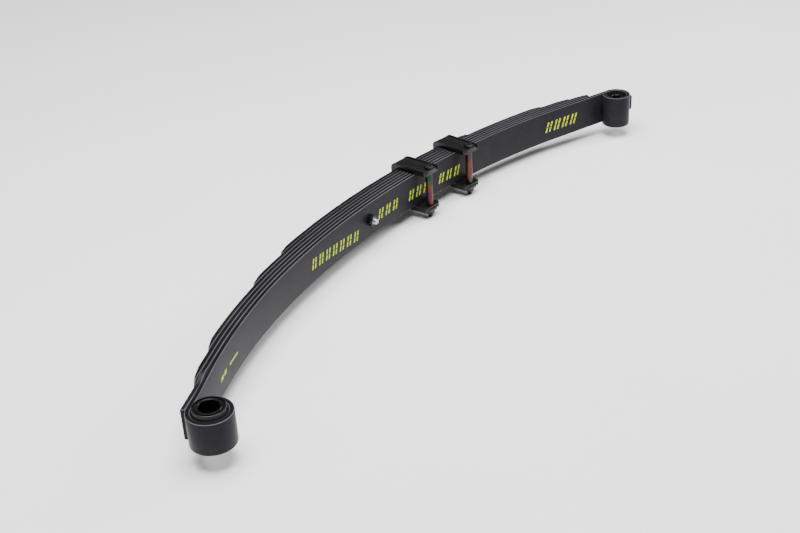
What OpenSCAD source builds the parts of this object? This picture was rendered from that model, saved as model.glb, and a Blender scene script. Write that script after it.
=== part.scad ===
// Six-leaf semi-elliptic spring with rolled eyes, rubber bushes and two bolted rebound clamps.
// It lies on its leaf edges: X runs from the front eye to the rear eye, Y points to the convex
// side where the axle seat is, and Z is the width of the leaves. The origin is on the centre
// bolt, at mid width, on the seat face of the shortest leaf. Dimensions in millimetres.

/* [Leaves] */
// width of every leaf
leaf_w = 60; // [45:1:80]
// thickness of one leaf
leaf_t = 7; // [5:0.5:10]
// clearance between neighbouring leaves
leaf_gap = 0.1; // [0.05:0.05:0.5]
// radius of the concave face around the centre bolt
mid_radius = 1470; // [900:10:3000]
// radius of the concave face of the front arc
front_radius = 1100; // [800:10:3000]
// radius of the concave face of the rear arc
rear_radius = 1270; // [800:10:3000]

/* [Lengths along the main leaf, from the centre bolt] */
// to the centre of the front eye
front_reach = 598; // [450:1:800]
// to the centre of the rear eye
rear_reach = 639; // [450:1:800]
// middle arc, towards the front
front_mid_len = 235; // [150:1:300]
// front arc, from the middle arc to the straight end
front_arc_len = 235; // [100:1:300]
// middle arc, towards the rear
rear_mid_len = 300; // [270:1:360]
// rear arc, from the middle arc to the straight end
rear_arc_len = 204; // [100:1:300]
// front tips of the third to the sixth leaf, as shares of the front reach
front_shares = [0.913, 0.789, 0.502, 0.343];
// rear tips of the third to the sixth leaf, as shares of the rear reach
rear_shares = [0.945, 0.88, 0.779, 0.498];
// length of the thinned end of a short leaf
tip_len = 34; // [10:1:50]
// thickness of the leaf at its tip
tip_t = 2.2; // [2:0.5:5]
// corner cut from each tip, across the width
tip_corner = 9; // [2:1:16]

/* [Front eye] */
// inner radius of the rolled front eye
front_eye_r = 25.5; // [18:0.5:32]
// length of the front eye and width of the leaf at it
front_eye_w = 48.8; // [35:0.2:60]
// angle that the leaf is rolled round the front eye
front_wrap = 290; // [240:1:300]
// length over which the main leaf narrows
narrow_len = 66; // [30:1:120]
// where the second leaf steps down to the width of the front eye, as a share of the front reach
step_share = 0.873; // [0.83:0.01:0.94]

/* [Rear eye] */
// inner radius of the rolled rear eye
rear_eye_r = 19; // [14:0.5:26]
// angle that the leaf is rolled round the rear eye
rear_wrap = 312; // [240:1:316]
// how far past the rear eye the second leaf stays straight before it curls
curl_run = 12; // [6:1:20]
// angle of the curl of the second leaf round the rear eye
curl_angle = 86; // [30:1:100]
// width of the curled end of the second leaf
curl_w = 28; // [18:1:40]

/* [Bushes] */
// length of the front bush, face to face
front_bush_l = 62; // [50:1:70]
// radius of the bead on the front bush's face
front_bead_r = 23; // [20:0.1:25]
// outer radius of the front bush's steel sleeve
front_sleeve_r = 18; // [12:0.5:20]
// bore radius of the front sleeve
front_bore_r = 14.6; // [8:0.1:16]
// length of the front sleeve
front_sleeve_l = 63; // [50:1:75]
// length of the rear bush, which sits inside the eye
rear_bush_l = 44; // [30:1:60]
// outer radius of the rear bush's steel sleeve
rear_sleeve_r = 11.5; // [8:0.5:14]
// bore radius of the rear sleeve
rear_bore_r = 8.1; // [5:0.1:10]
// length of the rear sleeve
rear_sleeve_l = 50; // [40:1:62]
// radial clearance of a bush in its eye and of a sleeve in its bush
bush_clear = 0.05; // [0.02:0.01:0.1]

/* [Centre bolt] */
// radius of the bolt's shank
cbolt_r = 5; // [4:0.5:6]
// radius of its round locating head
cbolt_head_r = 7.5; // [6:0.5:10]
// height of the locating head above the seat face
cbolt_head_h = 8; // [5:0.5:12]
// nut across flats
cnut_af = 17; // [13:1:19]
// nut height
cnut_h = 8; // [6:0.5:10]
// thread standing out of the nut
cbolt_tail = 7; // [3:1:12]

/* [Rebound clamps] */
// where the two clamp bolts stand along the main leaf
clamp_at = [147, 257];
// width of the steel strap, along the leaf
strap_w = 28; // [20:1:36]
// thickness of the strap
strap_t = 5; // [3:0.5:6]
// width of the moulded liner, along the leaf
liner_w = 37.5; // [30:0.5:45]
// thickness of the liner under the strap
liner_t = 4.2; // [2:0.2:6]
// thickness of the lip on each side of the liner
lip_t = 3.4; // [2:0.2:5]
// clearance between the liner and the leaves
wrap_clear = 0.3; // [0.2:0.1:1]
// distance of the clamp bolt from the face of the main leaf
bolt_off = 17; // [12:0.5:24]
// how far the arms run past the clamp bolt
arm_end = 9; // [8:0.5:14]
// clamp bolt radius
clamp_bolt_r = 4; // [3:0.5:5]
// clamp bolt and nut across flats
clamp_af = 13; // [10:1:17]
// bolt head height
clamp_head_h = 5.3; // [4:0.1:7]
// lock nut height
clamp_nut_h = 8; // [6:0.5:10]
// thread standing out of the lock nut
clamp_tail = 6; // [2:0.5:9]
// outer radius of the spacer tube
tube_r = 6; // [5:0.25:8]
// radius of the rivet that holds the strap to the shortest leaf
rivet_r = 4.75; // [3:0.25:6]

/* [Hidden] */
$fn = 96;
hole_clear = 0.2;
slide_clear = 0.05;
leaves = 6;
pitch = leaf_t + leaf_gap;
pack_t = leaves * leaf_t + (leaves - 1) * leaf_gap;
to_deg = 180 / PI;
f1 = -front_mid_len * to_deg / mid_radius;
f2 = f1 - front_arc_len * to_deg / front_radius;
r1 = rear_mid_len * to_deg / mid_radius;
r2 = r1 + rear_arc_len * to_deg / rear_radius;
front_arc_end = front_mid_len + front_arc_len;
rear_arc_end = rear_mid_len + rear_arc_len;
front_tips = front_reach * front_shares;
rear_tips = rear_reach * rear_shares;
second_step = front_reach * step_share;
mid_c = [0, -pack_t - mid_radius];
front_c = mid_c + (mid_radius - front_radius) * [sin(f1), cos(f1)];
rear_c = mid_c + (mid_radius - rear_radius) * [sin(r1), cos(r1)];
front_eye_out = front_eye_r + leaf_t;
rear_eye_out = rear_eye_r + leaf_t;
curl_r = rear_eye_out + leaf_gap;
second_past = 4;
facet = 8;
roll_facet = 4;
arm_in = leaf_w / 2 + wrap_clear + liner_t;
arm_out = arm_in + strap_t;
base_in = pack_t + wrap_clear + liner_t;
base_out = base_in + strap_t;
arm_tip = -bolt_off - arm_end;
channel_w = liner_w - 2 * lip_t;
strap_side = (channel_w - strap_w) / 2 - slide_clear;
lip_rise = 0.4;

steel = [0.26, 0.26, 0.28];
rubber = [0.09, 0.09, 0.09];
zinc = [0.62, 0.6, 0.5];
dark = [0.15, 0.15, 0.15];

// angle of the leaf's normal from +Y at arc length s on the concave face of the main leaf
function lean(s) =
    s < -front_arc_end ? f2 :
    s < -front_mid_len ? f1 + (s + front_mid_len) * to_deg / front_radius :
    s <= rear_mid_len ? s * to_deg / mid_radius :
    s <= rear_arc_end ? r1 + (s - rear_mid_len) * to_deg / rear_radius : r2;

// point on the concave face of the main leaf at arc length s
function on_face(s) =
    s < -front_arc_end ?
        front_c + front_radius * [sin(f2), cos(f2)] + (s + front_arc_end) * [cos(f2), -sin(f2)] :
    s < -front_mid_len ? front_c + front_radius * [sin(lean(s)), cos(lean(s))] :
    s <= rear_mid_len ? mid_c + mid_radius * [sin(lean(s)), cos(lean(s))] :
    s <= rear_arc_end ? rear_c + rear_radius * [sin(lean(s)), cos(lean(s))] :
        rear_c + rear_radius * [sin(r2), cos(r2)] + (s - rear_arc_end) * [cos(r2), -sin(r2)];

// local frame at arc length s: X along the leaf, Y out of its convex side, Z across it
module at_s(s) {
    p = on_face(s);
    translate([p[0], p[1], 0]) rotate([0, 0, -lean(s)]) children();
}

// a point given in the local frame at arc length s
function in_frame(s, v) = on_face(s)
    + v[0] * [cos(lean(s)), -sin(lean(s))] + v[1] * [sin(lean(s)), cos(lean(s))];

// arc lengths at which a leaf that runs from s_lo to s_hi is drawn
function stations(s_lo, s_hi) = concat([s_lo],
    [for (s = [ceil(max(s_lo, -front_arc_end) / facet) * facet : facet : min(s_hi, rear_arc_end)])
        if (s > s_lo + 1 && s < s_hi - 1) s],
    [s_hi]);

// one side of a leaf, at a distance off from the main leaf's face
function side_line(off, s_lo, s_hi) = [for (s = stations(s_lo, s_hi)) in_frame(s, [0, off])];

// one side of a roll about [x, y] in the local frame at s, from angle a_lo to a_hi
function roll_line(s, c, r, a_lo, a_hi) = let (n = ceil(abs(a_hi - a_lo) / roll_facet))
    [for (i = [0:n]) let (a = a_lo + (a_hi - a_lo) * i / n)
        in_frame(s, c + r * [cos(a), sin(a)])];

function reversed(v) = [for (i = [len(v) - 1:-1:0]) v[i]];

// strip of full width between the line of its concave side and that of its convex side
module strip(inner, outer) {
    translate([0, 0, -leaf_w / 2]) linear_extrude(leaf_w) polygon(concat(inner, reversed(outer)));
}

module leaf_strip(off, s_lo, s_hi) {
    strip(side_line(off, s_lo, s_hi), side_line(off + leaf_t, s_lo, s_hi));
}

// prism across the leaf's thickness, from a plan shape in X and Z
module plan_cut(y_lo, y_hi) {
    translate([0, y_hi, 0]) rotate([90, 0, 0]) linear_extrude(y_hi - y_lo) children();
}

// what a plain tip loses: a ramp on its convex side and its two corners
module tip_cut(s, way, off) {
    slope = (leaf_t - tip_t) / tip_len;
    over = 2;
    at_s(s) {
        translate([0, 0, -leaf_w / 2 - 1]) linear_extrude(leaf_w + 2)
            polygon([[way * over, off + tip_t - slope * over], [way * over, off + leaf_t + over],
                [-way * (tip_len + over / slope), off + leaf_t + over]]);
        for (side = [-1, 1])
            plan_cut(off - over, off + leaf_t + over)
                polygon([[way * over, side * (leaf_w / 2 - tip_corner - over)],
                    [way * over, side * (leaf_w / 2 + over)],
                    [-way * (tip_corner + over), side * (leaf_w / 2 + over)]]);
    }
}

// hole for the centre bolt
module centre_hole() {
    rotate([90, 0, 0]) cylinder(r = cbolt_r + hole_clear, h = 3 * pack_t, center = true);
}

// one of the short leaves, i = 2 for the third leaf to 5 for the sixth
module short_leaf(i) {
    off = i * pitch;
    front = -front_tips[i - 2];
    rear = rear_tips[i - 2];
    difference() {
        leaf_strip(off, front, rear);
        tip_cut(front, -1, off);
        tip_cut(rear, 1, off);
        centre_hole();
    }
}

// one side of the main leaf with both rolls, r_off outside its concave side
function main_line(r_off) = concat(
    reversed(roll_line(-front_reach, [0, -front_eye_r], front_eye_r + r_off, 90 + roll_facet,
        90 + front_wrap)),
    side_line(r_off, -front_reach, rear_reach),
    roll_line(rear_reach, [0, -rear_eye_r], rear_eye_r + r_off, 90 - roll_facet, 90 - rear_wrap));

module main_leaf() {
    half = leaf_w / 2;
    end = front_eye_w / 2;
    start = -(front_reach - front_eye_out - narrow_len);
    color(steel) difference() {
        strip(main_line(0), main_line(leaf_t));
        // both edges draw in towards the front eye
        at_s(-front_reach) for (side = [-1, 1])
            plan_cut(-3 * front_eye_out, leaf_t + 5)
                polygon([[start + front_reach, side * half], [start + front_reach, side * (half + 5)],
                    [-3 * front_eye_out, side * (half + 5)], [-3 * front_eye_out, side * end],
                    [front_eye_out, side * end]]);
        centre_hole();
    }
}

// one side of the second leaf, whose rear end curls round the rear eye to guard it
function second_line(r_off) = concat(
    side_line(pitch + r_off, -front_reach - second_past, rear_reach + curl_run),
    roll_line(rear_reach + curl_run, [0, pitch - curl_r], curl_r + r_off, 90 - roll_facet,
        90 - curl_angle));

module second_leaf() {
    half = leaf_w / 2;
    end = front_eye_w / 2 - 0.4;
    off = pitch;
    tip = front_reach + second_past;
    step = 22;
    thin = 25;
    color(steel) difference() {
        strip(second_line(0), second_line(leaf_t));
        at_s(-tip) for (side = [-1, 1])
            plan_cut(off - 5, off + leaf_t + 5)
                polygon([[tip - second_step, side * half],
                    [tip - second_step, side * (half + 5)], [-5, side * (half + 5)],
                    [-5, side * end], [tip - second_step - step, side * end]]);
        at_s(rear_reach) for (side = [-1, 1]) {
            plan_cut(-3 * rear_eye_out, off + leaf_t + 5)
                polygon([[-rear_eye_out - thin, side * half], [-rear_eye_out - thin, side * (half + 5)],
                    [3 * rear_eye_out, side * (half + 5)], [3 * rear_eye_out, side * curl_w / 2],
                    [-rear_eye_out, side * curl_w / 2]]);
        }
        centre_hole();
    }
}

module third_leaf() { color(steel) short_leaf(2); }
module fourth_leaf() { color(steel) short_leaf(3); }
module fifth_leaf() { color(steel) short_leaf(4); }

module sixth_leaf() {
    color(steel) difference() {
        short_leaf(5);
        for (s = clamp_at) at_s(s) translate([0, pack_t, 0]) rotate([90, 0, 0])
            cylinder(r = rivet_r + hole_clear, h = 3 * leaf_t, center = true);
    }
}

// hexagonal prism about Z with chamfered corners on its top, from z = 0 up
module hex_block(af, h) {
    across = af / cos(30);
    intersection() {
        cylinder(d = across, h = h, $fn = 6);
        union() {
            cylinder(d = across, h = h - (across - af) / 3);
            translate([0, 0, h - (across - af) / 3 - slide_clear / 10])
                cylinder(d1 = across, d2 = af * 0.97, h = (across - af) / 3 + slide_clear / 10);
        }
    }
}

// bolt end with a chamfer, about Z, from z = 0 up
module bolt_end(r, h, chamfer) {
    cylinder(r = r, h = h - chamfer);
    translate([0, 0, h - chamfer]) cylinder(r1 = r, r2 = r - chamfer * 0.8, h = chamfer);
}

module centre_bolt() {
    chamfer = 1;
    shank = pack_t + cnut_h + cbolt_tail;
    color(dark) rotate([90, 0, 0]) {
        bolt_end(cbolt_r, shank, chamfer);
        rotate([180, 0, 0]) bolt_end(cbolt_head_r, cbolt_head_h, chamfer);
    }
}

module centre_bolt_nut() {
    color(dark) translate([0, -pack_t - slide_clear, 0]) rotate([90, 0, 0]) difference() {
        hex_block(cnut_af, cnut_h);
        translate([0, 0, -1]) cylinder(r = cbolt_r + slide_clear, h = cnut_h + 2);
    }
}

module in_front_eye() { at_s(-front_reach) translate([0, -front_eye_r, 0]) children(); }
module in_rear_eye() { at_s(rear_reach) translate([0, -rear_eye_r, 0]) children(); }

module front_bush() {
    outer = front_eye_r - bush_clear;
    groove_in = front_sleeve_r + 1.2;
    groove_out = front_bead_r - 2;
    groove_d = 2;
    color(rubber) in_front_eye() difference() {
        union() {
            cylinder(r = outer, h = front_eye_w, center = true);
            cylinder(r = front_bead_r, h = front_bush_l, center = true);
        }
        cylinder(r = front_sleeve_r + bush_clear, h = front_bush_l + 2, center = true);
        // ring groove in each face
        for (side = [-1, 1])
            translate([0, 0, side * (front_bush_l / 2)]) difference() {
                cylinder(r = groove_out, h = 2 * groove_d, center = true);
                cylinder(r = groove_in, h = 3 * groove_d, center = true);
            }
    }
}

// plain tube about Z, centred, with a chamfer at both mouths
module sleeve(r_out, r_in, l) {
    chamfer = 0.8;
    difference() {
        cylinder(r = r_out, h = l, center = true);
        cylinder(r = r_in, h = l + 2, center = true);
        for (side = [0, 1]) mirror([0, 0, side]) translate([0, 0, l / 2 - chamfer])
            cylinder(r1 = r_in, r2 = r_in + 2 * chamfer, h = 2 * chamfer);
    }
}

module front_bush_sleeve() {
    color(dark) in_front_eye() sleeve(front_sleeve_r, front_bore_r, front_sleeve_l);
}

module rear_bush() {
    color(rubber) in_rear_eye() difference() {
        cylinder(r = rear_eye_r - bush_clear, h = rear_bush_l, center = true);
        cylinder(r = rear_sleeve_r + bush_clear, h = rear_bush_l + 2, center = true);
    }
}

module rear_bush_sleeve() {
    color(dark) in_rear_eye() sleeve(rear_sleeve_r, rear_bore_r, rear_sleeve_l);
}

// U outline in Y and Z: y_end is the end of the arms, y_base the outside of the base
module u_outline(y_end, y_base, half, r) {
    translate([y_end, -half]) square([y_base - r - y_end, 2 * half]);
    translate([y_end, -half + r]) square([y_base - y_end, 2 * (half - r)]);
    for (side = [-1, 1]) translate([y_base - r, side * (half - r)]) circle(r = r);
}

// prism along the leaf, X from x_lo to x_hi, from an outline in Y and Z
module along(x_lo, x_hi) {
    translate([x_lo, 0, 0]) rotate([90, 0, 90]) linear_extrude(x_hi - x_lo) children();
}

module clamp_bolt_hole(r) {
    translate([0, -bolt_off, 0]) cylinder(r = r, h = 4 * arm_out, center = true);
}

module rivet_hole() {
    translate([0, base_in, 0]) rotate([90, 0, 0])
        cylinder(r = rivet_r + hole_clear, h = 4 * strap_t, center = true);
}

module clamp_strap(s) {
    bend = 9;
    corner = 6;
    lo = -channel_w / 2 + slide_clear;
    color(dark) at_s(s) difference() {
        along(lo, lo + strap_w) difference() {
            u_outline(arm_tip, base_out, arm_out, bend);
            u_outline(arm_tip - 1, base_in, arm_in, bend - strap_t);
        }
        // corners of the arm ends
        for (x = [lo, lo + strap_w]) translate([x, arm_tip, 0]) rotate([0, 0, 45])
            cube([corner, corner, 4 * arm_out], center = true);
        clamp_bolt_hole(clamp_bolt_r + hole_clear);
        rivet_hole();
    }
}

module clamp_liner(s) {
    bend = 9;
    half = liner_w / 2;
    edge_in = leaf_w / 2 + wrap_clear;
    corner = 5;
    end = arm_tip + 1.5;
    color(rubber) at_s(s) difference() {
        along(-half, half) difference() {
            u_outline(end, base_out + lip_rise, arm_out + lip_rise, bend + lip_rise);
            u_outline(end - 1, pack_t + wrap_clear, edge_in, 2 * wrap_clear);
        }
        // channel that the strap lies in
        along(-channel_w / 2, channel_w / 2) difference() {
            u_outline(end - 2, base_out + 5, arm_out + 5, bend);
            u_outline(end - 3, base_in - slide_clear, arm_in - slide_clear,
                bend - strap_t - slide_clear);
        }
        for (x = [-half, half]) translate([x, end, 0]) rotate([0, 0, 45])
            cube([corner, corner, 4 * arm_out], center = true);
        clamp_bolt_hole(tube_r + hole_clear);
        rivet_hole();
    }
}

module clamp_tube(s) {
    color(zinc) at_s(s) translate([0, -bolt_off, 0]) difference() {
        cylinder(r = tube_r, h = 2 * (arm_in - slide_clear), center = true);
        cylinder(r = clamp_bolt_r + hole_clear, h = 2 * arm_in + 2, center = true);
    }
}

module clamp_bolt(s) {
    shank = 2 * arm_out + clamp_nut_h + clamp_tail + 2 * slide_clear;
    color(dark) at_s(s) translate([0, -bolt_off, arm_out + slide_clear]) {
        hex_block(clamp_af, clamp_head_h);
        rotate([180, 0, 0]) bolt_end(clamp_bolt_r, shank, 0.8);
    }
}

module clamp_nut(s) {
    flange = 1.4;
    color(dark) at_s(s) translate([0, -bolt_off, -arm_out - slide_clear]) rotate([180, 0, 0])
        difference() {
            union() {
                cylinder(d = clamp_af * 1.32, h = flange);
                hex_block(clamp_af, clamp_nut_h);
            }
            translate([0, 0, -1]) cylinder(r = clamp_bolt_r + slide_clear, h = clamp_nut_h + 2);
        }
}

module clamp_rivet(s) {
    head_h = 4;
    head_r = rivet_r * 1.8;
    inner = pack_t - leaf_t + 1;
    color(dark) at_s(s) translate([0, base_out + slide_clear, 0]) rotate([90, 0, 0]) {
        cylinder(r = rivet_r, h = base_out + slide_clear - inner);
        rotate([180, 0, 0]) cylinder(r1 = head_r, r2 = head_r * 0.55, h = head_h);
    }
}

module inner_clamp_strap() { clamp_strap(clamp_at[0]); }
module inner_clamp_liner() { clamp_liner(clamp_at[0]); }
module inner_clamp_tube() { clamp_tube(clamp_at[0]); }
module inner_clamp_bolt() { clamp_bolt(clamp_at[0]); }
module inner_clamp_nut() { clamp_nut(clamp_at[0]); }
module inner_clamp_rivet() { clamp_rivet(clamp_at[0]); }
module outer_clamp_strap() { clamp_strap(clamp_at[1]); }
module outer_clamp_liner() { clamp_liner(clamp_at[1]); }
module outer_clamp_tube() { clamp_tube(clamp_at[1]); }
module outer_clamp_bolt() { clamp_bolt(clamp_at[1]); }
module outer_clamp_nut() { clamp_nut(clamp_at[1]); }
module outer_clamp_rivet() { clamp_rivet(clamp_at[1]); }

main_leaf();
second_leaf();
third_leaf();
fourth_leaf();
fifth_leaf();
sixth_leaf();
centre_bolt();
centre_bolt_nut();
front_bush();
front_bush_sleeve();
rear_bush();
rear_bush_sleeve();
inner_clamp_strap();
inner_clamp_liner();
inner_clamp_tube();
inner_clamp_bolt();
inner_clamp_nut();
inner_clamp_rivet();
outer_clamp_strap();
outer_clamp_liner();
outer_clamp_tube();
outer_clamp_bolt();
outer_clamp_nut();
outer_clamp_rivet();
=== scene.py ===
"""Looks of a leaf spring: painted leaves that flex, rubber bushes, two rebound clamps and their bolts."""

import logging
import math
from dataclasses import dataclass, field
from enum import Enum

import bpy
import numpy as np
from mathutils import Matrix, Vector

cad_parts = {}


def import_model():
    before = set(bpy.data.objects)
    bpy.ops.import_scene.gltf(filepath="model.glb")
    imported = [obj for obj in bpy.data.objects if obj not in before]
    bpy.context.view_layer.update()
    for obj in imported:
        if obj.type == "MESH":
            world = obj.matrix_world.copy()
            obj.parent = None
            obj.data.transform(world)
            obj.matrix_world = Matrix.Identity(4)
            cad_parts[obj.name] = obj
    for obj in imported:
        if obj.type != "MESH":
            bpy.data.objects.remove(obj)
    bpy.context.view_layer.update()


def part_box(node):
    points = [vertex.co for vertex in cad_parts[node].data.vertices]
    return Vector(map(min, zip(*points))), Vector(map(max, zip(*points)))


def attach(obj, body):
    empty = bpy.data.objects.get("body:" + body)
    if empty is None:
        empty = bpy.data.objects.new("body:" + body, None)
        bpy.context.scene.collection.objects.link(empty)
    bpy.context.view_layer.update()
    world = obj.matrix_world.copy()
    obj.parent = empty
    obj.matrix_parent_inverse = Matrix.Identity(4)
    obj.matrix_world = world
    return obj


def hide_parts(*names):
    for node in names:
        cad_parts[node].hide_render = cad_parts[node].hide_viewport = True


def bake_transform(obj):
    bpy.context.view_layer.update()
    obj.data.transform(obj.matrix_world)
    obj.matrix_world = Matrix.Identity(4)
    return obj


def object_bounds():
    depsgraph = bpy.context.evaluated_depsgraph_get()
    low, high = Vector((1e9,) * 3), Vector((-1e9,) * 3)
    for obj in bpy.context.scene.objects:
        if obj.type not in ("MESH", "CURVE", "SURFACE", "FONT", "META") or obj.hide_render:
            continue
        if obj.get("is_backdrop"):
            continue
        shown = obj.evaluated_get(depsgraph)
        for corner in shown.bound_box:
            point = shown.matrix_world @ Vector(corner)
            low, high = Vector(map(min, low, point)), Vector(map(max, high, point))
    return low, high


LOG = logging.getLogger("leaf_spring")
MM = 0.001
TURN = 2 * math.pi

# (radius, height) points in millimetres
Profile = list[tuple[float, float]]

# the leaves bend between the edge of the axle seat and the rigid ends round the eyes, in metres along X
FRONT_RIGID = -0.535
REAR_RIGID = 0.580

REST = "at_rest"

# points nearer than this, in metres, are merged: in a CAD mesh, in a profile before it is turned, and after
CAD_WELD = 0.00001
PROFILE_WELD = 0.000001
TURNED_WELD = 0.000002
# points nearer to a plane than this, in metres, lie in it
IN_PLANE = 0.0001
# faces that meet at less than this many degrees are made one
FLAT_DEG = 0.05
# edges sharper than this many degrees stay sharp, where a piece doesn't say otherwise
SHARP_DEG = 32.0


class Half(Enum):
    """The two halves of a leaf, which meet at the centre bolt: name, eye body, sign along X and rigid end."""

    FRONT = ("front", "front_eye", -1.0, FRONT_RIGID)
    REAR = ("rear", "rear_eye", 1.0, REAR_RIGID)


class Along(Enum):
    """The line that a turned piece is turned about, with the direction its radius starts from."""

    ACROSS_LEAF = ((0.0, 0.0, 1.0), (1.0, 0.0, 0.0))
    OUT_OF_SEAT = ((0.0, 1.0, 0.0), (1.0, 0.0, 0.0))


# ---------------------------------------------------------------- materials


def linear(code: str) -> tuple[float, float, float, float]:
    """Turns an sRGB hex value to a linear colour.

    Args:
        code: six hex digits.

    Returns:
        Red, green, blue and alpha, linear.
    """
    parts = [int(code[i : i + 2], 16) / 255 for i in (0, 2, 4)]
    out = [p / 12.92 if p <= 0.04045 else ((p + 0.055) / 1.055) ** 2.4 for p in parts]
    return (out[0], out[1], out[2], 1.0)


class NodeBench:
    """A material's node tree, with one way to add a node."""

    def __init__(self, name: str) -> None:
        """Starts an empty material with its shader and output.

        Args:
            name: the material's name.
        """
        self.material = bpy.data.materials.new(name)
        self.material.use_nodes = True
        self.tree = self.material.node_tree
        self.tree.nodes.clear()
        self.out = self.tree.nodes.new("ShaderNodeOutputMaterial")
        self.shader = self.add("ShaderNodeBsdfPrincipled")
        self.tree.links.new(self.shader.outputs[0], self.out.inputs["Surface"])

    def add(self, kind: str, inputs: dict | None = None, **settings: object) -> bpy.types.Node:
        """Adds a node.

        Args:
            kind: the node's type.
            inputs: socket name or number to a constant or to another node's output.
            **settings: the node's own properties.

        Returns:
            The node.
        """
        node = self.tree.nodes.new(kind)
        for key, value in settings.items():
            setattr(node, key, value)
        for key, value in (inputs or {}).items():
            if isinstance(value, bpy.types.NodeSocket):
                self.tree.links.new(value, node.inputs[key])
            else:
                node.inputs[key].default_value = value
        return node

    def ramp(self, factor: bpy.types.NodeSocket, stops: list[tuple[float, str]]) -> bpy.types.NodeSocket:
        """Colours a factor.

        Args:
            factor: the value that runs along the stops.
            stops: place and sRGB hex pairs.

        Returns:
            The colour output.
        """
        node = self.add("ShaderNodeValToRGB", {0: factor})
        band = node.color_ramp
        while len(band.elements) < len(stops):
            band.elements.new(1.0)
        for element, (place, code) in zip(band.elements, stops):
            element.position = place
            element.color = linear(code)
        return node.outputs[0]

    def maths(self, what: str, a: object, b: object = 0.0, c: object = 0.0) -> bpy.types.NodeSocket:
        """Adds a Math node.

        Args:
            what: the operation.
            a: first constant or output.
            b: second constant or output.
            c: third constant or output.

        Returns:
            The value output.
        """
        return self.add("ShaderNodeMath", {0: a, 1: b, 2: c}, operation=what).outputs[0]

    def noise(
        self, where: bpy.types.NodeSocket, grain_mm: float, detail: float = 3.0
    ) -> bpy.types.NodeSocket:
        """Noise whose lumps are about as wide as a real size.

        Args:
            where: the coordinates, in metres.
            grain_mm: width of a lump in millimetres.
            detail: octaves of finer noise.

        Returns:
            The noise value.
        """
        scale = 1.0 / (grain_mm * MM)
        node = self.add("ShaderNodeTexNoise", {"Vector": where, "Scale": scale, "Detail": detail})
        return node.outputs[0]

    def bump(self, height: bpy.types.NodeSocket, depth_mm: float, strength: float) -> None:
        """Wires a height to the shader's normal.

        Args:
            height: value from 0 to 1.
            depth_mm: the real height of that range in millimetres.
            strength: share of it that shows.
        """
        node = self.add("ShaderNodeBump", {"Height": height, "Distance": depth_mm * MM, "Strength": strength})
        self.tree.links.new(node.outputs[0], self.shader.inputs["Normal"])

    def wire(self, socket: str, value: object) -> None:
        """Sets or links one input of the shader.

        Args:
            socket: the input's name.
            value: a constant, or another node's output.
        """
        if isinstance(value, bpy.types.NodeSocket):
            self.tree.links.new(value, self.shader.inputs[socket])
        else:
            self.shader.inputs[socket].default_value = value


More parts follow.
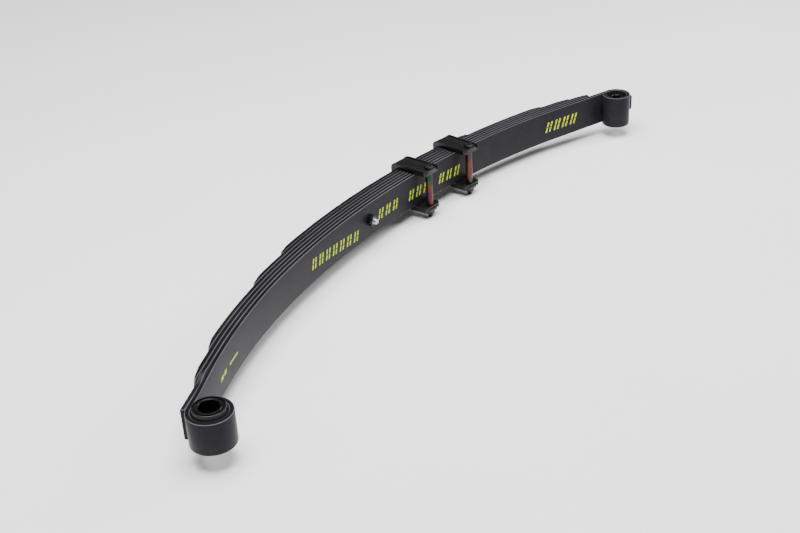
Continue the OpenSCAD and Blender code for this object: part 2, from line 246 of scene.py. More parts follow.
@dataclass(frozen=True)
class LeafPaint:
    """Satin powder coat on rolled spring steel.

    It gives a slightly violet dark grey with a faint orange peel. On the leaf's rounded corners it is paler,
    partly as thin, worn paint and partly as a painted highlight, and on the rolled edges it is darker, as
    painted shade, and dull.
    """

    name: str = "satin_powder_coat"
    face: str = "232126"
    deep: str = "1C1A1F"
    # painted shade: the darker colour given to the flat edge faces, which face up and down
    painted_edge_shade: str = "0F0E11"
    # paler colour of the rounded corners: partly worn thin paint, partly a painted highlight
    edge: str = "6E6D73"
    tone_stops: tuple[float, float] = (0.35, 0.62)
    roughness: float = 0.38
    rough_spread: float = 0.16
    gloss: float = 0.07
    rim_gloss: float = 0.05
    ior: float = 1.5
    peel_mm: float = 2.4
    peel_depth_mm: float = 0.05
    peel_strength: float = 0.5
    cloud_mm: float = 45.0
    fleck_mm: float = 5.0
    fleck_share: float = 0.35
    # a face is told by how far its normal lies along the leaf's width: 0 on the broad faces, 1 on the edges
    corner_facing: float = 0.68
    corner_fade: tuple[float, float] = (0.32, 0.10)
    # where the painted shade on the flat edge faces fades in, by how far the normal lies along the width
    shade_mask_fade: tuple[float, float] = (0.95, 0.99)
    # how strongly the paler corner colour shows, as worn paint and painted highlight, scaled by the cloud
    # noise
    wear_and_highlight_spread: tuple[float, float] = (0.6, 0.35)

    def colours(self, bench: NodeBench) -> tuple[bpy.types.NodeSocket, bpy.types.NodeSocket]:
        """Adds the paint's colour, its paler corners and painted shade, and its finish.

        Args:
            bench: the material's nodes.

        Returns:
            The coordinates and the colour, for marks to be laid over.
        """
        where = bench.add("ShaderNodeAttribute", attribute_name=REST).outputs["Vector"]
        cloud = bench.noise(where, self.cloud_mm, detail=4.0)
        fleck = bench.noise(where, self.fleck_mm, detail=5.0)
        clouded = bench.maths("MULTIPLY", cloud, 1 - self.fleck_share)
        blend = bench.maths("MULTIPLY_ADD", fleck, self.fleck_share, clouded)
        dark, light = self.tone_stops
        base = bench.ramp(blend, [(dark, self.deep), (light, self.face)])
        normal = bench.add("ShaderNodeNewGeometry").outputs["Normal"]
        facing = bench.maths("ABSOLUTE", bench.add("ShaderNodeSeparateXYZ", {0: normal}).outputs["Z"])
        off = bench.maths("ABSOLUTE", bench.maths("SUBTRACT", facing, self.corner_facing))
        corner = bench.add("ShaderNodeMapRange", {0: off, 1: self.corner_fade[0], 2: self.corner_fade[1]})
        # the rounded corners turn paler: partly worn paint, partly a painted highlight
        wear_and_highlight = bench.maths("MULTIPLY", corner.outputs[0], bench.maths("MULTIPLY_ADD", cloud, *self.wear_and_highlight_spread))
        # painted shade: the flat edge faces are mixed towards the darker colour, and their gloss is lowered
        # too
        painted_edge_shade = bench.add("ShaderNodeMapRange", {0: facing, 1: self.shade_mask_fade[0], 2: self.shade_mask_fade[1]})
        flat = painted_edge_shade.outputs[0]
        shaded = bench.add("ShaderNodeMix", {0: flat, 6: base, 7: linear(self.painted_edge_shade)}, data_type="RGBA")
        layers = {0: wear_and_highlight, 6: shaded.outputs[2], 7: linear(self.edge)}
        mixed = bench.add("ShaderNodeMix", layers, data_type="RGBA")
        smooth = self.roughness - self.rough_spread / 2
        bench.wire("Roughness", bench.maths("MULTIPLY_ADD", cloud, self.rough_spread, smooth))
        bench.wire("Metallic", 0.0)
        bench.wire("IOR", self.ior)
        shine = bench.maths("MULTIPLY_ADD", flat, self.rim_gloss - self.gloss, self.gloss)
        bench.wire("Specular IOR Level", shine)
        bench.bump(bench.noise(where, self.peel_mm, detail=2.0), self.peel_depth_mm, self.peel_strength)
        return where, mixed.outputs[2]

    def make(self) -> bpy.types.Material:
        """Makes the plain painted finish.

        Returns:
            The material.
        """
        bench = NodeBench(self.name)
        _, colour = self.colours(bench)
        bench.wire("Base Color", colour)
        return bench.material


@dataclass(frozen=True)
class MarkRun:
    """A run of slanted paint bars along the main leaf, in metres.

    It starts and ends at places along X, and its middle line stands off the leaf's by middle, with a slope.
    Each bar has a height, a width and a lean, and a bridge across it where the mask was held. The bars come
    at a pitch, and a twin follows each at a distance, where it isn't 0.
    """

    start: float
    end: float
    middle: float
    slope: float = -0.02
    height: float = 0.0180
    pitch: float = 0.0205
    width: float = 0.0034
    lean: float = 0.30
    bridge: float = 0.0016
    twin: float = 0.0080


@dataclass(frozen=True)
class MarkedPaint(LeafPaint):
    """The same coat with sprayed inspection bars.

    They give the eye a thin, matt yellow-green, broken where the mask was and speckled where the spray
    ran thin.
    """

    name: str = "satin_powder_coat_marked"
    spray: str = "B8CC00"
    speckle_mm: float = 1.6
    speckle_range: tuple[float, float] = (0.34, 0.52)
    least_cover: float = 0.55
    runs: tuple[MarkRun, ...] = (
        MarkRun(-0.170, -0.028, -0.006, slope=-0.10),
        MarkRun(0.026, 0.084, -0.003),
        MarkRun(0.112, 0.170, -0.005),
        MarkRun(0.195, 0.253, -0.006),
        MarkRun(0.470, 0.541, -0.001, slope=0.0, height=0.0200, pitch=0.0190, width=0.0036),
        # a single dash, and two short smudges beside it
        MarkRun(
            -0.446, -0.413, -0.003,
            slope=0.0, height=0.0030, pitch=0.0330, width=0.0290, lean=0.0, bridge=0.0, twin=0.0,
        ),
        MarkRun(
            -0.479, -0.456, -0.004,
            slope=0.1, height=0.0056, pitch=0.0120, width=0.0085, lean=0.4, bridge=0.0, twin=0.0,
        ),
    )

    def bars(self, bench: NodeBench, axes: bpy.types.Node, run: MarkRun) -> bpy.types.NodeSocket:
        """The mask of one run: 1 on its bars and 0 elsewhere.

        Args:
            bench: the material's nodes.
            axes: the separated coordinates.
            run: the run's sizes.

        Returns:
            The mask.
        """
        x, z = axes.outputs["X"], axes.outputs["Z"]
        shift = -run.middle + run.slope * (run.start + run.end) / 2
        level = bench.maths("MULTIPLY_ADD", x, -run.slope, shift)
        v = bench.maths("ADD", z, level)
        slid = bench.maths("MULTIPLY_ADD", v, -run.lean, x)
        along = bench.maths("SUBTRACT", slid, run.start)
        within = bench.maths("MODULO", along, run.pitch)
        bar = bench.maths("LESS_THAN", within, run.width)
        if run.twin > 0:
            offset = bench.maths("ABSOLUTE", bench.maths("SUBTRACT", within, run.twin + run.width / 2))
            bar = bench.maths("MAXIMUM", bar, bench.maths("LESS_THAN", offset, run.width / 2))
        after = bench.maths("GREATER_THAN", along, 0.0)
        before = bench.maths("LESS_THAN", along, run.end - run.start)
        rise = bench.maths("ABSOLUTE", v)
        low = bench.maths("LESS_THAN", rise, run.height / 2)
        mask = bench.maths("MULTIPLY", bar, after)
        for limit in (before, low):
            mask = bench.maths("MULTIPLY", mask, limit)
        if run.bridge > 0:
            gap = bench.maths("GREATER_THAN", rise, run.bridge / 2)
            mask = bench.maths("MULTIPLY", mask, gap)
        return mask

    def make(self) -> bpy.types.Material:
        """Makes the coat with its marks.

        Returns:
            The material.
        """
        bench = NodeBench(self.name)
        where, colour = self.colours(bench)
        axes = bench.add("ShaderNodeSeparateXYZ", {0: where})
        mask = self.bars(bench, axes, self.runs[0])
        for run in self.runs[1:]:
            mask = bench.maths("MAXIMUM", mask, self.bars(bench, axes, run))
        thin = bench.noise(where, self.speckle_mm, detail=4.0)
        low, high = self.speckle_range
        cover = bench.add("ShaderNodeMapRange", {0: thin, 1: low, 2: high, 3: self.least_cover, 4: 1.0})
        laid = bench.maths("MULTIPLY", mask, cover.outputs[0])
        mixed = bench.add("ShaderNodeMix", {0: laid, 6: colour, 7: linear(self.spray)}, data_type="RGBA")
        bench.wire("Base Color", mixed.outputs[2])
        return bench.material


@dataclass(frozen=True)
class Coat:
    """A plain coat, plating or moulding: mottled in two close tones, with its own grain."""

    name: str
    light: str
    dark: str
    roughness: float
    spread: float
    cloud_mm: float
    grain_mm: float
    grain_depth_mm: float
    metallic: float = 0.0
    gloss: float = 0.3
    tone_stops: tuple[float, float] = (0.36, 0.64)
    grain_strength: float = 0.6

    def make(self) -> bpy.types.Material:
        """Makes the finish.

        Returns:
            The material.
        """
        bench = NodeBench(self.name)
        where = bench.add("ShaderNodeTexCoord").outputs["Object"]
        cloud = bench.noise(where, self.cloud_mm, detail=5.0)
        low, high = self.tone_stops
        bench.wire("Base Color", bench.ramp(cloud, [(low, self.dark), (high, self.light)]))
        smooth = self.roughness - self.spread / 2
        bench.wire("Roughness", bench.maths("MULTIPLY_ADD", cloud, self.spread, smooth))
        bench.wire("Metallic", self.metallic)
        bench.wire("Specular IOR Level", self.gloss)
        bench.bump(bench.noise(where, self.grain_mm, detail=2.0), self.grain_depth_mm, self.grain_strength)
        return bench.material


@dataclass(frozen=True)
class RainbowZinc:
    """Passivated zinc on a turned tube.

    It gives a dark metal whose thin film drifts in long streaks through green, gold, pink and violet, over
    faint rings left by the turning.
    """

    name: str
    seed: float
    drift_mm: float = 22.0
    streak: tuple[float, float, float] = (1.5, 1.5, 0.45)
    ring_mm: float = 0.5
    ring_stretch: tuple[float, float, float] = (0.05, 0.05, 1.0)
    ring_depth_mm: float = 0.01
    ring_strength: float = 0.4
    metallic: float = 0.9
    roughness: float = 0.22
    rough_spread: float = 0.18
    stops: tuple[tuple[float, str], ...] = (
        (0.28, "0F262B"),
        (0.40, "17352D"),
        (0.49, "2F3A2E"),
        (0.56, "5C3324"),
        (0.63, "4B2430"),
        (0.74, "201E38"),
    )

    def make(self) -> bpy.types.Material:
        """Makes the finish.

        Returns:
            The material.
        """
        bench = NodeBench(self.name)
        place = bench.add("ShaderNodeTexCoord").outputs["Object"]
        shift = (self.seed, 0, self.seed)
        moved = bench.add("ShaderNodeMapping", {"Vector": place, "Location": shift, "Scale": self.streak})
        film = bench.noise(moved.outputs[0], self.drift_mm, detail=2.0)
        bench.wire("Base Color", bench.ramp(film, list(self.stops)))
        bench.wire("Metallic", self.metallic)
        bench.wire("Roughness", bench.maths("MULTIPLY_ADD", film, self.rough_spread, self.roughness))
        rings = bench.add("ShaderNodeMapping", {"Vector": place, "Scale": self.ring_stretch})
        turning = bench.noise(rings.outputs[0], self.ring_mm, detail=1.0)
        bench.bump(turning, self.ring_depth_mm, self.ring_strength)
        return bench.material


class Finishes:
    """Every finish of the spring, made once."""

    def __init__(self) -> None:
        """Makes the materials."""
        self.leaf = LeafPaint().make()
        self.marked = MarkedPaint().make()
        # black epoxy dip on pressed steel: near black, with a soft sheen that wanders
        self.strap = Coat(
            "black_epoxy_coat", "0B0B0C", "060607",
            roughness=0.34, spread=0.14, cloud_mm=14, grain_mm=1.2, grain_depth_mm=0.03,
        ).make()
        # moulded nylon: near black and a little duller than the strap, with a fine mould grain
        self.liner = Coat(
            "moulded_black_nylon", "080809", "050505",
            roughness=0.42, spread=0.12, cloud_mm=10, grain_mm=0.8, grain_depth_mm=0.03,
        ).make()
        # moulded rubber: black, with the low gloss of a fresh moulding
        self.rubber = Coat(
            "moulded_black_rubber", "080808", "050505",
            roughness=0.32, spread=0.16, cloud_mm=12, grain_mm=0.7, grain_depth_mm=0.03,
        ).make()
        # phosphated steel tube: dark grey, half metallic, finely mottled
        self.sleeve = Coat(
            "phosphated_steel", "1C1B1D", "100F11",
            roughness=0.30, spread=0.2, cloud_mm=6, grain_mm=0.6, grain_depth_mm=0.02, metallic=0.6,
        ).make()
        # black oxide on machined bolts and nuts: dark steel with clear highlights on its corners
        self.oxide = Coat(
            "black_oxide_steel", "202023", "121214",
            roughness=0.30, spread=0.2, cloud_mm=5, grain_mm=0.5, grain_depth_mm=0.02,
            metallic=0.6, gloss=0.5,
        ).make()
        # clear zinc on the centre bolt's tip: one bright point
        self.bright = Coat(
            "clear_zinc_plate", "B9BCC2", "8D9097",
            roughness=0.30, spread=0.2, cloud_mm=3, grain_mm=0.5, grain_depth_mm=0.01, metallic=1.0,
        ).make()
        self.inner_zinc = RainbowZinc("passivated_zinc_inner", seed=0.047).make()
        self.outer_zinc = RainbowZinc("passivated_zinc_outer", seed=0.013).make()


# ---------------------------------------------------------------- mesh work


def alone(piece: bpy.types.Object) -> None:
    """Makes one object the only one selected, and active.

    Args:
        piece: the object.
    """
    bpy.ops.object.select_all(action="DESELECT")
    piece.select_set(True)
    bpy.context.view_layer.objects.active = piece


def settle(piece: bpy.types.Object, angle: float = SHARP_DEG) -> bpy.types.Object:
    """Puts a finished object's place in its mesh and shades it smooth up to an angle.

    Args:
        piece: the object.
        angle: edges sharper than this many degrees stay sharp.

    Returns:
        The same object.
    """
    alone(piece)
    bpy.ops.object.transform_apply(location=True, rotation=True, scale=True)
    bpy.ops.object.shade_smooth_by_angle(angle=math.radians(angle))
    return piece


def rounded(piece: bpy.types.Object, width_mm: float, segments: int = 2, angle: float = SHARP_DEG) -> None:
    """Rounds an object's sharp edges with a bevel that is applied.

    Args:
        piece: the object.
        width_mm: the bevel's width in millimetres.
        segments: steps round each edge.
        angle: edges flatter than this many degrees stay as they are.
    """
    alone(piece)
    bevel = piece.modifiers.new("soft_edge", "BEVEL")
    bevel.width = width_mm * MM
    bevel.segments = segments
    bevel.limit_method = "ANGLE"
    bevel.angle_limit = math.radians(angle)
    bevel.use_clamp_overlap = True
    bevel.harden_normals = False
    bpy.ops.object.modifier_apply(modifier=bevel.name)


def cad_copy(node: str, name: str) -> bpy.types.Object:
    """A CAD node's shape as a new object, merged and with its flat faces made whole.

    Args:
        node: the node's name.
        name: the new object's name.

    Returns:
        The object, which still has its sharp edges.
    """
    mesh = bpy.data.objects[node].data.copy()
    mesh.name = name
    piece = bpy.data.objects.new(name, mesh)
    bpy.context.scene.collection.objects.link(piece)
    mesh.materials.clear()
    alone(piece)
    bpy.ops.mesh.customdata_custom_splitnormals_clear()
    bpy.ops.object.mode_set(mode="EDIT")
    bpy.ops.mesh.select_all(action="SELECT")
    bpy.ops.mesh.remove_doubles(threshold=CAD_WELD)
    bpy.ops.mesh.dissolve_limited(angle_limit=math.radians(FLAT_DEG))
    bpy.ops.object.mode_set(mode="OBJECT")
    return piece


def cut_off(piece: bpy.types.Object, point: Vector, normal: Vector, clear: bool, fill: bool) -> None:
    """Bisects an object.

    Args:
        piece: the object.
        point: a point of the plane.
        normal: the plane's normal; what lies on its side goes if clear is true.
        clear: removes that side.
        fill: closes the cut.
    """
    alone(piece)
    bpy.ops.object.mode_set(mode="EDIT")
    bpy.ops.mesh.select_all(action="SELECT")
    bpy.ops.mesh.bisect(plane_co=point, plane_no=normal, use_fill=fill, clear_outer=clear)
    bpy.ops.object.mode_set(mode="OBJECT")


def turned(name: str, centre: Vector, line: Along, profile: Profile, steps: int = 64) -> bpy.types.Object:
    """Turns a profile about a line.

    Args:
        name: the new object's name.
        centre: the point of the line from which the profile's heights run.
        line: the line.
        profile: (radius, height) points in millimetres; one that doesn't start on the line is a closed ring.
        steps: faces round the piece.

    Returns:
        The object, closed, with its faces outwards.
    """
    axis, out = Vector(line.value[0]), Vector(line.value[1])
    ring = profile[0][0] > 0
    points = [centre + out * (r * MM) + axis * (h * MM) for r, h in profile]
    if ring:
        points.append(points[0])
    bpy.ops.object.select_all(action="DESELECT")
    bpy.ops.mesh.primitive_plane_add(size=0.001, location=points[0])
    piece = bpy.context.object
    piece.name = piece.data.name = name
    bpy.ops.object.mode_set(mode="EDIT")
    bpy.ops.mesh.select_all(action="SELECT")
    bpy.ops.mesh.merge(type="CENTER")
    for before, after in zip(points, points[1:]):
        bpy.ops.mesh.extrude_region_move(TRANSFORM_OT_translate={"value": after - before})
    bpy.ops.mesh.select_all(action="SELECT")
    bpy.ops.mesh.remove_doubles(threshold=PROFILE_WELD)
    bpy.ops.mesh.spin(steps=steps, angle=TURN, center=centre, axis=axis)
    bpy.ops.mesh.select_all(action="SELECT")
    bpy.ops.mesh.remove_doubles(threshold=TURNED_WELD)
    bpy.ops.mesh.normals_make_consistent(inside=False)
    bpy.ops.object.mode_set(mode="OBJECT")
    return piece


def join(pieces: list[bpy.types.Object]) -> bpy.types.Object:
    """Joins objects into the first of them.

    Args:
        pieces: the objects.

    Returns:
        The first, which now holds them all.
    """
    alone(pieces[0])
    for piece in pieces[1:]:
        piece.select_set(True)
    bpy.ops.object.join()
    return pieces[0]


def dress(piece: bpy.types.Object, *materials: bpy.types.Material) -> bpy.types.Object:
    """Gives an object its materials.

    Args:
        piece: the object.
        *materials: the finishes, in slot order.

    Returns:
        The same object.
    """
    piece.data.materials.clear()
    for material in materials:
        piece.data.materials.append(material)
    return piece


def middle(node: str) -> Vector:
    """The middle of a CAD node's box."""
    low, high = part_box(node)
    return (low + high) / 2


def threads(radius: float, start: float, end: float, pitch: float, depth: float) -> Profile:
    """The ridges of a screw thread, as a profile that runs from one height down to another.

    Args:
        radius: over the crests, in millimetres.
        start: the upper height.
        end: the lower height.
        pitch: height of one ridge.
        depth: depth of the grooves.

    Returns:
        (radius, height) points.
    """
    ridge = ((0.12, 0.0), (0.45, depth), (0.55, depth), (0.88, 0.0))
    out: Profile = []
    height = start
    while height - pitch > end:
        out += [(radius - cut, height - pitch * share) for share, cut in ridge]
        height -= pitch
    return out


# ---------------------------------------------------------------- sub-assemblies


@dataclass
class LeafPack:
    """The six leaves. Each is two halves that meet at the centre bolt; the real leaves bend towards their
    eyes.
    """

    finishes: Finishes
    leaves: tuple[str, ...] = tuple(
        f"{place}_leaf" for place in ("main", "second", "third", "fourth", "fifth", "sixth")
    )
    edge_mm: float = 1.6
    edge_steps: int = 3
    sharp_deg: float = 28.0
    smooth_deg: float = 40.0
    bend_step: float = 0.014
    end_span: float = 0.09
    marked_span: tuple[float, float] = (-0.52, 0.57)
    broad_facing: float = 0.3
    inward_facing: float = -0.8
    made: list[bpy.types.Object] = field(default_factory=list)

    def whole(self, leaf: str) -> bpy.types.Object:
        """A leaf in one piece, with its corners rounded.

        Its straight ends are cut across into short steps, so that they bend smoothly.

        Args:
            leaf: the CAD node.

        Returns:
            The object.
        """
        piece = cad_copy(leaf, leaf + "_steel")
        low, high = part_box(leaf)
        x = low.x + self.bend_step
        while x < high.x:
            straight = x < FRONT_RIGID + self.end_span or x > REAR_RIGID - self.end_span
            if straight and FRONT_RIGID < x < REAR_RIGID:
                cut_off(piece, Vector((x, 0, 0)), Vector((1, 0, 0)), clear=False, fill=False)
            x += self.bend_step
        rounded(piece, self.edge_mm, self.edge_steps, self.sharp_deg)
        return piece

    def half(self, piece: bpy.types.Object, leaf: str, part: Half) -> bpy.types.Object:
        """Cuts one half out of a leaf.

        Args:
            piece: the whole leaf, which the half is copied from.
            leaf: the CAD node.
            part: which half.

        Returns:
            The half.
        """
        label, eye, sign, rigid = part.value
        cut = bpy.data.objects.new(f"{leaf}_{label}_half", piece.data.copy())
        cut.data.name = cut.name
        bpy.context.scene.collection.objects.link(cut)
        cut_off(cut, Vector((0, 0, 0)), Vector((-sign, 0, 0)), clear=True, fill=True)
        dress(cut, self.finishes.leaf, self.finishes.marked)
        if leaf == "main_leaf":
            self.mark(cut)
        settle(cut, self.smooth_deg)
        self.keep_rest(cut)
        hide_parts(leaf)
        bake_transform(cut)
        return cut

    def mark(self, cut: bpy.types.Object) -> None:
        """Gives the concave face of the main leaf the coat that carries the sprayed bars.

        Args:
            cut: one half of that leaf.
        """
        start, end = self.marked_span
        for face in cut.data.polygons:
            broad = abs(face.normal.z) < self.broad_facing
            inward = face.normal.y < self.inward_facing
            if broad and inward and start < face.center.x < end:
                face.material_index = 1

    def keep_rest(self, cut: bpy.types.Object) -> None:
        """Stores each point's place at rest, which the paint's pattern follows when the leaf bends.

        Args:
            cut: one half of a leaf.
        """
        place = cut.data.attributes.new(REST, "FLOAT_VECTOR", "POINT")
        spots = np.empty(len(cut.data.vertices) * 3, np.float32)
        cut.data.vertices.foreach_get("co", spots)
        place.data.foreach_set("vector", spots)

    def build(self) -> list[bpy.types.Object]:
        """Makes every leaf.

        Returns:
            The halves.
        """
        for leaf in self.leaves:
            piece = self.whole(leaf)
            self.made += [self.half(piece, leaf, part) for part in Half]
            bpy.data.objects.remove(piece)
        return self.made


@dataclass
class CentreFastening:
    """The bolt through the middle of the leaves and its nut."""

    finishes: Finishes
    shank_r: float = 5.0
    head_r: float = 7.5
    head_h: float = 8.0
    thread_h: float = 16.0
    pitch: float = 1.25
    groove: float = 0.6
    bright_mm: float = 2.2
    made: list[bpy.types.Object] = field(default_factory=list)

    def bolt(self) -> bpy.types.Object:
        """The bolt, turned, with a threaded tail whose tip is left bright.

        Returns:
            The piece.
        """
        low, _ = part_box("centre_bolt")
        end = low.y / MM
        r = self.shank_r
        profile = [(0.0, self.head_h), (self.head_r - 1.6, self.head_h)]
        profile += [(self.head_r - 0.8, self.head_h - 0.4), (self.head_r, self.head_h - 1.2)]
        profile += [(self.head_r, 0.0), (r, 0.0), (r, end + self.thread_h)]
        profile += threads(r, end + self.thread_h, end + 1.2, self.pitch, self.groove)
        profile += [(r - 0.2, end + 1.0), (r - 1.2, end), (0.0, end)]
        piece = turned("centre_bolt_turned", Vector((0, 0, 0)), Along.OUT_OF_SEAT, profile, steps=48)
        dress(piece, self.finishes.oxide, self.finishes.bright)
        for face in piece.data.polygons:
            if face.center.y < low.y + self.bright_mm * MM:
                face.material_index = 1
        settle(piece, angle=40.0)
        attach(piece, "leaf_pack")
        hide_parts("centre_bolt")
        return piece

    def nut(self) -> bpy.types.Object:
        """The nut, with rounded corners.

        Returns:
            The piece.
        """
        piece = cad_copy("centre_bolt_nut", "centre_nut_hexagon")
        rounded(piece, width_mm=0.35, segments=2, angle=25.0)
        dress(piece, self.finishes.oxide)
        settle(piece)
        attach(piece, "leaf_pack")
        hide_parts("centre_bolt_nut")
        return piece

    def build(self) -> list[bpy.types.Object]:
        """Makes both and returns them."""
        self.made = [self.bolt(), self.nut()]
        return self.made


@dataclass
class EyeBush:
    """A rubber bush with its steel sleeve, turned about the middle of an eye. Sizes are in millimetres.

    The rubber fills the eye to its outer radius for seat_half each way from the middle, and goes on as a
    bead to half. The groove, where it isn't None, is a ring in the end face: inner radius, outer radius and
    depth.
    """

    finishes: Finishes
    end: str
    outer: float
    seat_half: float
    bead: float
    half: float
    sleeve_out: float
    sleeve_in: float
    sleeve_half: float
    groove: tuple[float, float, float] | None = None
    fit_gap: float = 0.05
    made: list[bpy.types.Object] = field(default_factory=list)

    def rubber_profile(self) -> Profile:
        """The bush's section on one side of its middle line.

        Returns:
            (radius, height) points in millimetres, for a closed ring.
        """
        inner = self.sleeve_out + self.fit_gap
        top = [(inner, self.half)]
        if self.groove:
            lo, hi, deep = self.groove
            top += [(lo - 0.3, self.half), (lo, self.half - deep + 0.4), (lo + 0.4, self.half - deep)]
            top += [(hi - 0.4, self.half - deep), (hi, self.half - deep + 0.4), (hi + 0.3, self.half)]
        top += [(self.bead - 1.0, self.half), (self.bead - 0.3, self.half - 0.3)]
        top += [(self.bead, self.half - 1.0)]
        if self.bead < self.outer:
            top += [(self.bead, self.seat_half + 0.4), (self.bead + 0.3, self.seat_half)]
        top += [(self.outer, min(self.seat_half, self.half - 1.0))]
        return top + [(r, -h) for r, h in reversed(top)]

    def build(self) -> list[bpy.types.Object]:
        """Makes the bush and its sleeve.

        Returns:
            The two pieces.
        """
        centre = middle(f"{self.end}_bush_sleeve")
        rubber = turned(f"{self.end}_bush_rubber", centre, Along.ACROSS_LEAF, self.rubber_profile(), steps=96)
        dress(rubber, self.finishes.rubber)
        settle(rubber, angle=40.0)
        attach(rubber, f"{self.end}_eye")
        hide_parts(f"{self.end}_bush")
        half = self.sleeve_half
        top = [(self.sleeve_in, half - 1.1), (self.sleeve_in + 0.8, half - 0.15)]
        top += [(self.sleeve_in + 1.1, half), (self.sleeve_out - 0.5, half), (self.sleeve_out, half - 0.5)]
        profile = top + [(r, -h) for r, h in reversed(top)]
        sleeve = turned(f"{self.end}_sleeve_tube", centre, Along.ACROSS_LEAF, profile, steps=96)
        dress(sleeve, self.finishes.sleeve)
        settle(sleeve, angle=40.0)
        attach(sleeve, f"{self.end}_sleeve")
        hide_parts(f"{self.end}_bush_sleeve")
        self.made = [rubber, sleeve]
        return self.made


@dataclass
class ReboundClamp:
    """A strap round the leaves with its liner, spacer tube, bolt, lock nut and rivet.

    Sizes are in millimetres.
    """

    finishes: Finishes
    place: str
    zinc: bpy.types.Material
    bolt_r: float = 4.0
    head_h: float = 5.3
    thread_h: float = 18.0
    pitch: float = 1.25
    thread_cut: float = 0.6
    foot_h: float = 6.2
    cone_h: float = 2.4
    foot_share: float = 0.65
    head_lift: float = 0.05
    head_lap: float = 1.0
    made: list[bpy.types.Object] = field(default_factory=list)

    def slim_foot(self, rivet: bpy.types.Object) -> None:
        """Makes the rivet's foot slimmer than its hole in the sixth leaf, which the bend brings closer to it.

        Args:
            rivet: the rivet, whose foot is its lowest face along Y.
        """
        foot = min(rivet.data.polygons, key=lambda face: face.center.y)
        base, axis = foot.center.copy(), -foot.normal
        for height in (self.foot_h, self.foot_h + self.cone_h):
            cut_off(rivet, base + axis * (height * MM), axis, clear=False, fill=False)
        for height in (0.0, self.foot_h):
            centre = base + axis * (height * MM)
            bpy.ops.object.mode_set(mode="EDIT")
            bpy.ops.mesh.select_mode(type="VERT")
            bpy.ops.mesh.select_all(action="DESELECT")
            bpy.ops.object.mode_set(mode="OBJECT")
            for vertex in rivet.data.vertices:
                vertex.select = abs((vertex.co - centre).dot(axis)) < IN_PLANE
            bpy.ops.object.mode_set(mode="EDIT")
            bpy.ops.transform.resize(value=(self.foot_share,) * 3, center_override=centre)
            bpy.ops.object.mode_set(mode="OBJECT")

    def softened(self, part: str, width_mm: float, material: bpy.types.Material) -> bpy.types.Object:
        """One pressed or moulded part: the CAD shape with its edges rounded.

        Args:
            part: the last word of the node's name.
            width_mm: width of the rounding.
            material: its finish.

        Returns:
            The piece.
        """
        node = f"{self.place}_clamp_{part}"
        piece = cad_copy(node, f"{node}_finished")
        if part == "rivet":
            self.slim_foot(piece)
        rounded(piece, width_mm, segments=2, angle=30.0)
        dress(piece, material)
        settle(piece)
        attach(piece, f"{self.place}_clamp")
        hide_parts(node)
        return piece

    def bolt(self) -> bpy.types.Object:
        """The bolt: a hexagon head, and a turned shank with a thread at its foot.

        Returns:
            The piece.
        """
        node = f"{self.place}_clamp_bolt"
        low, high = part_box(node)
        seat = high.z - self.head_h * MM
        head = cad_copy(node, f"{node}_finished")
        cut_off(head, Vector((0, 0, seat + self.head_lift * MM)), Vector((0, 0, -1)), clear=True, fill=True)
        rounded(head, width_mm=0.4, segments=2, angle=20.0)
        centre = middle(node)
        r, top, foot = self.bolt_r, (seat - centre.z) / MM, (low.z - centre.z) / MM
        lapped = top + self.head_lap
        profile = [(0.0, lapped), (r, lapped), (r, foot + self.thread_h)]
        profile += threads(r, foot + self.thread_h, foot + 1.0, self.pitch, self.thread_cut)
        profile += [(r - 0.2, foot + 0.8), (r - 0.9, foot), (0.0, foot)]
        shank = turned(f"{node}_shank", centre, Along.ACROSS_LEAF, profile, steps=40)
        dress(head, self.finishes.oxide)
        dress(shank, self.finishes.oxide)
        piece = join([head, shank])
        settle(piece, angle=36.0)
        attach(piece, f"{self.place}_clamp")
        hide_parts(node)
        return piece

    def build(self) -> list[bpy.types.Object]:
        """Makes the clamp's six pieces.

        Returns:
            The pieces.
        """
        self.made = [
            self.softened("strap", width_mm=0.8, material=self.finishes.strap),
            self.softened("liner", width_mm=0.5, material=self.finishes.liner),
            self.softened("tube", width_mm=0.3, material=self.zinc),
            self.softened("nut", width_mm=0.3, material=self.finishes.oxide),
            self.softened("rivet", width_mm=0.5, material=self.finishes.oxide),
            self.bolt(),
        ]
        return self.made


# ---------------------------------------------------------------- studio


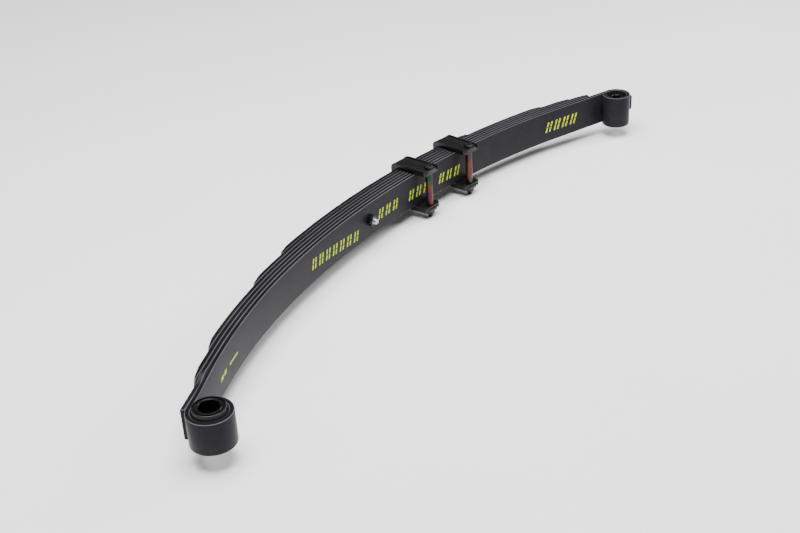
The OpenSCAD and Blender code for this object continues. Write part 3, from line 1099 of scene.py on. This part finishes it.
@dataclass
class Studio:
    """A pale floor, soft lights and the camera."""

    eye: tuple[float, float, float] = (-1.5172, -1.1871, 0.9831)
    right: tuple[float, float, float] = (0.55817, -0.82811, -0.05188)
    down: tuple[float, float, float] = (-0.43434, -0.23834, -0.86865)
    ahead: tuple[float, float, float] = (0.70697, 0.50738, -0.49269)
    lens_mm: float = 57.78
    sensor_mm: float = 36.0
    floor_gap: float = 0.0006
    floor_side: float = 40.0
    aim: tuple[float, float, float] = (0.0, -0.05, 0.0)
    room_light: float = 0.22

    def camera(self) -> bpy.types.Object:
        """Makes the camera.

        Returns:
            The camera.
        """
        data = bpy.data.cameras.new("camera")
        data.lens = self.lens_mm
        data.sensor_width = self.sensor_mm
        data.clip_end = 60.0
        camera = bpy.data.objects.new("camera", data)
        bpy.context.scene.collection.objects.link(camera)
        x, y, z = Vector(self.right), -Vector(self.down), -Vector(self.ahead)
        turn = Matrix((x, y, z)).transposed().to_4x4()
        camera.matrix_world = Matrix.Translation(Vector(self.eye)) @ turn
        bpy.context.scene.camera = camera
        return camera

    def lamp(self, name: str, spot: tuple[float, float, float], side: float, watts: float) -> None:
        """Adds a square soft light that faces the middle of the spring.

        Args:
            name: the light's name.
            spot: where it stands.
            side: its width in metres.
            watts: its power.
        """
        data = bpy.data.lights.new(name, "AREA")
        data.size = side
        data.energy = watts
        light = bpy.data.objects.new(name, data)
        bpy.context.scene.collection.objects.link(light)
        ray = Vector(self.aim) - Vector(spot)
        turn = ray.to_track_quat("-Z", "Y").to_matrix().to_4x4()
        light.matrix_world = Matrix.Translation(Vector(spot)) @ turn

    def floor(self, level: float) -> None:
        """Lays the floor.

        Args:
            level: its height.
        """
        bpy.ops.object.select_all(action="DESELECT")
        bpy.ops.mesh.primitive_plane_add(size=self.floor_side, location=(0, 0, level))
        plane = bpy.context.object
        plane.name = "studio_floor"
        bench = NodeBench("matt_paper")
        where = bench.add("ShaderNodeTexCoord").outputs["Object"]
        # matt paper: almost one white, with tones too close to see as marks
        cloud = bench.noise(where, grain_mm=400.0, detail=2.0)
        bench.wire("Base Color", bench.ramp(cloud, [(0.3, "F1F1F1"), (0.7, "F4F4F4")]))
        bench.wire("Roughness", 0.9)
        bench.wire("Specular IOR Level", 0.1)
        dress(plane, bench.material)
        plane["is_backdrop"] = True

    def build(self) -> None:
        """Sets up camera, floor, lights and surroundings."""
        self.camera()
        low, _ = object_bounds()
        self.floor(low[2] - self.floor_gap)
        world = bpy.data.worlds.new("soft_room")
        world.use_nodes = True
        background = world.node_tree.nodes["Background"]
        background.inputs["Color"].default_value = linear("F2F3F5")
        background.inputs["Strength"].default_value = self.room_light
        bpy.context.scene.world = world
        self.lamp("overhead", (-0.3, -0.2, 2.8), side=2.6, watts=250.0)
        self.lamp("left_wash", (-2.2, 0.6, 1.6), side=1.4, watts=6.0)
        self.lamp("edge_strip", (2.3, -1.6, 1.7), side=0.9, watts=60.0)


def main() -> None:
    """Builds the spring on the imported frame, sub-assembly by sub-assembly."""
    logging.basicConfig(level=logging.INFO, format="%(name)s %(message)s")
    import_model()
    finishes = Finishes()
    assemblies = [
        LeafPack(finishes),
        CentreFastening(finishes),
        EyeBush(
            finishes,
            "front",
            outer=25.45,
            seat_half=24.4,
            bead=23.0,
            half=31.0,
            sleeve_out=18.0,
            sleeve_in=14.6,
            sleeve_half=31.5,
            groove=(19.2, 21.0, 2.0),
        ),
        EyeBush(
            finishes,
            "rear",
            outer=18.95,
            seat_half=22.0,
            bead=18.95,
            half=22.0,
            sleeve_out=11.5,
            sleeve_in=8.1,
            sleeve_half=25.0,
        ),
        ReboundClamp(finishes, "inner", finishes.inner_zinc),
        ReboundClamp(finishes, "outer", finishes.outer_zinc),
    ]
    for assembly in assemblies:
        for piece in assembly.build():
            LOG.info("%s: %d faces", piece.name, len(piece.data.polygons))
    Studio().build()


if __name__ == "__main__":
    main()
